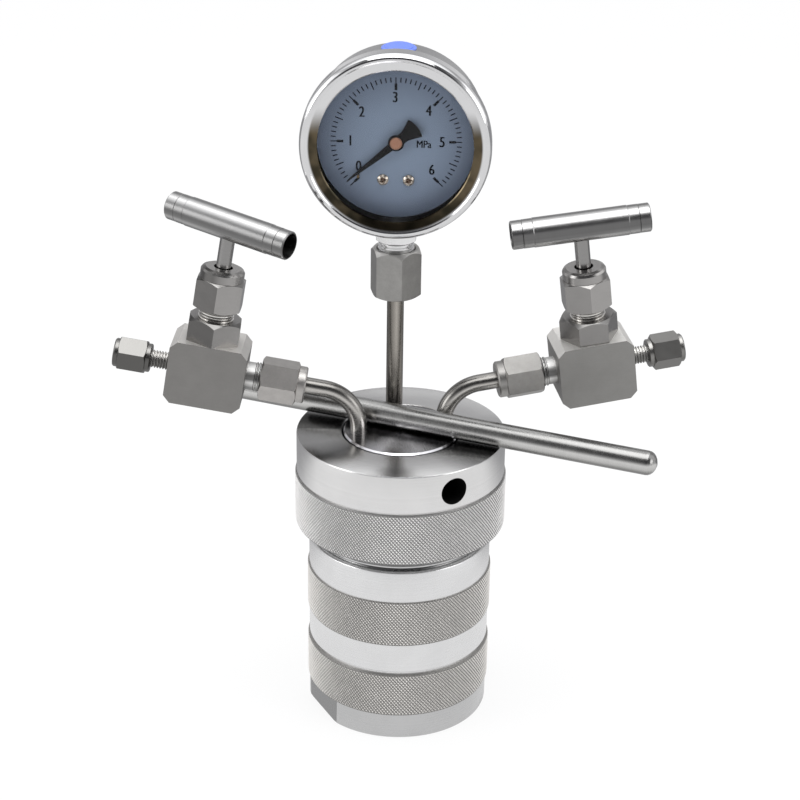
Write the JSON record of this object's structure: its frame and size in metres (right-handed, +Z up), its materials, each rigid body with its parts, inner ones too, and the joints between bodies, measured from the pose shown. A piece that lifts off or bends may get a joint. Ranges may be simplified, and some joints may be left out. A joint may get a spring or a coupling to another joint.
{
  "type": "hydrothermal reactor",
  "caption": "Screw-capped steel pressure vessel with a plastic liner, T-handled needle valves on bent tubes, a dial pressure gauge on a stem, and a loose turning bar.",
  "frame": {"origin": "centre of the vessel base, on the bench", "axes": "+Z up along the vessel, -Y towards the front where the dial faces, +X to the right"},
  "size_m": [0.2137, 0.08, 0.2596],
  "materials": {
    "brass": "satin",
    "bright_steel": "polished",
    "brushed_steel": "brushed",
    "dial_paint": "satin",
    "dull_steel": "grainy",
    "gasket_rubber": "matt",
    "plug_plastic": "gloss",
    "pointer_paint": "matt",
    "ptfe": "satin",
    "window_glass": "clear"
  },
  "bodies": {
    "vessel": {"vessel_body": "brushed_steel", "liner_cup": "ptfe"},
    "lid": {"liner_lid": "ptfe", "cover": "bright_steel", "tommy_bar": "bright_steel", "left_tube": "brushed_steel", "right_tube": "brushed_steel", "gauge_tube": "brushed_steel", "gauge_adapter": "dull_steel", "gauge_gasket": "ptfe", "gauge_socket": "bright_steel", "gauge_case": "brushed_steel", "gauge_bezel": "bright_steel", "gauge_window": "window_glass", "window_gasket": "gasket_rubber", "dial": "dial_paint", "dial_screws": "bright_steel", "stop_pin": "brass", "bourdon_tube": "brass", "gauge_movement": "brass", "fill_plug": "plug_plastic", "left_block": "dull_steel", "left_inlet_nut": "dull_steel", "left_inlet_ferrules": "bright_steel", "left_outlet_nut": "brushed_steel", "left_outlet_ferrules": "bright_steel", "left_bonnet": "brushed_steel", "left_packing": "ptfe", "left_gland": "brass", "left_packing_nut": "brushed_steel", "right_block": "dull_steel", "right_inlet_nut": "dull_steel", "right_inlet_ferrules": "bright_steel", "right_outlet_nut": "brushed_steel", "right_outlet_ferrules": "bright_steel", "right_bonnet": "brushed_steel", "right_packing": "ptfe", "right_gland": "brass", "right_packing_nut": "brushed_steel"},
    "cap": {"screw_cap": "brushed_steel"},
    "left_needle": {"left_needle": "bright_steel"},
    "right_needle": {"right_needle": "bright_steel"},
    "left_stem": {"left_stem": "bright_steel", "left_handle": "brushed_steel"},
    "right_stem": {"right_stem": "bright_steel", "right_handle": "brushed_steel"},
    "pointer": {"pointer": "pointer_paint", "pointer_arbor": "brass"}
  },
  "joints": [
    {"name": "lid_lift", "type": "slide", "parent": "vessel", "child": "lid", "axis": [0, 0, 1], "range_m": [0, 0.12]},
    {"name": "cap_turn", "type": "hinge", "parent": "lid", "child": "cap", "pos_m": [0, 0, 0.1071], "axis": [0, 0, 1], "range_deg": [0, 2160]},
    {"name": "left_needle_travel", "type": "slide", "parent": "lid", "child": "left_needle", "axis": [0.1614, 0.0488, 0.9857], "range_m": [0, 0.003]},
    {"name": "left_stem_turn", "type": "hinge", "parent": "left_needle", "child": "left_stem", "pos_m": [-0.06271, 0.00149, 0.19455], "axis": [0.1614, 0.0488, 0.9857], "range_deg": [0, 1080]},
    {"name": "right_needle_travel", "type": "slide", "parent": "lid", "child": "right_needle", "axis": [-0.1313, -0.0501, 0.9901], "range_m": [0, 0.003]},
    {"name": "right_stem_turn", "type": "hinge", "parent": "right_needle", "child": "right_stem", "pos_m": [0.06397, 0.00877, 0.19352], "axis": [-0.1313, -0.0501, 0.9901], "range_deg": [0, 1080]},
    {"name": "pointer_turn", "type": "hinge", "parent": "lid", "child": "pointer", "pos_m": [-0.00327, 0.00546, 0.2255], "axis": [0.0436, 0.999, 0], "range_deg": [0, 264], "stiffness_Nm_per_rad": 0.0004, "springref_deg": -17.19}
  ],
  "couplings": [
    {"joint": "left_stem_turn", "follows": "left_needle_travel", "rad_per_m": 6280},
    {"joint": "right_stem_turn", "follows": "right_needle_travel", "rad_per_m": 6280}
  ]
}
